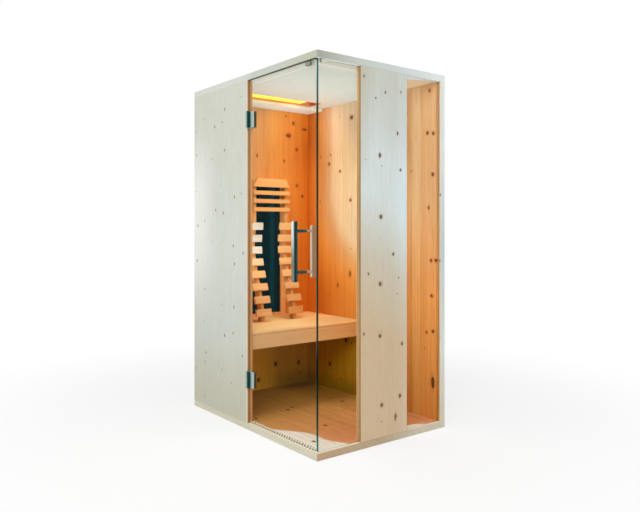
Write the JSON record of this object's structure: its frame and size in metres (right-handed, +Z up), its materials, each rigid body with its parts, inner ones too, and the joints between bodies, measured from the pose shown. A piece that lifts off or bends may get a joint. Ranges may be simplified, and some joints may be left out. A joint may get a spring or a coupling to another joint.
{
  "type": "infrared sauna cabin",
  "caption": "Pine infrared sauna cabin with a glass corner, a hinged glass door, a bench, a black radiant heater and a curved slatted backrest.",
  "frame": {"origin": "on the floor under the middle of the whole object's box, handle and control box included", "axes": "X runs along the door face from the hinge wall to the glass corner, Y runs inwards from the door face to the side wall, Z is up"},
  "size_m": [1.29, 0.987, 2.07],
  "materials": {
    "pale_pine": "satin",
    "warm_pine": "satin",
    "honey_lime": "satin",
    "clear_glass": "polished",
    "black_glass": "gloss",
    "polished_steel": "polished",
    "aluminium": "satin",
    "amber_diffuser": "satin",
    "grey_plastic": "matte",
    "dark_plastic": "matte"
  },
  "bodies": {
    "cabin": {"base_frame": "pale_pine", "roof_panel": "pale_pine", "hinge_wall": "pale_pine", "side_wall": "pale_pine", "back_wall": "pale_pine", "centre_panel": "pale_pine", "light_valance": "pale_pine", "floor_panel": "warm_pine", "bench_left_batten": "warm_pine", "bench_right_batten": "warm_pine", "heater_frame": "warm_pine", "backrest_spacer": "warm_pine", "bench_apron": "honey_lime", "bench_board": "honey_lime", "backrest_left_rail": "honey_lime", "backrest_right_rail": "honey_lime", "backrest_left_block_1": "honey_lime", "backrest_left_block_2": "honey_lime", "backrest_left_block_3": "honey_lime", "backrest_left_block_4": "honey_lime", "backrest_left_block_5": "honey_lime", "backrest_left_block_6": "honey_lime", "backrest_left_block_7": "honey_lime", "backrest_left_block_8": "honey_lime", "backrest_right_block_1": "honey_lime", "backrest_right_block_2": "honey_lime", "backrest_right_block_3": "honey_lime", "backrest_right_block_4": "honey_lime", "backrest_right_block_5": "honey_lime", "backrest_right_block_6": "honey_lime", "backrest_right_block_7": "honey_lime", "backrest_right_block_8": "honey_lime", "backrest_slat_1": "honey_lime", "backrest_slat_2": "honey_lime", "backrest_slat_3": "honey_lime", "backrest_head_slat": "honey_lime", "corner_pane": "clear_glass", "side_pane": "clear_glass", "heater_plate": "black_glass", "pane_clip": "polished_steel", "upper_hinge_leaf": "polished_steel", "upper_hinge_pin": "polished_steel", "lower_hinge_leaf": "polished_steel", "lower_hinge_pin": "polished_steel", "door_magnet": "aluminium", "heater_reflector": "aluminium", "light_cover": "amber_diffuser", "led_strip": "grey_plastic", "control_box": "grey_plastic", "supply_gland": "dark_plastic"},
    "door": {"door_glass": "clear_glass", "outer_grip": "polished_steel", "inner_grip": "honey_lime", "upper_standoff": "polished_steel", "lower_standoff": "polished_steel", "door_strike": "polished_steel", "upper_hinge_clamp": "polished_steel", "upper_hinge_back_plate": "polished_steel", "lower_hinge_clamp": "polished_steel", "lower_hinge_back_plate": "polished_steel"}
  },
  "joints": [
    {"name": "door_hinge", "type": "hinge", "parent": "cabin", "child": "door", "pos_m": [0.014, -0.4305, 1], "axis": [0, 0, -1], "range_deg": [0, 105]}
  ]
}
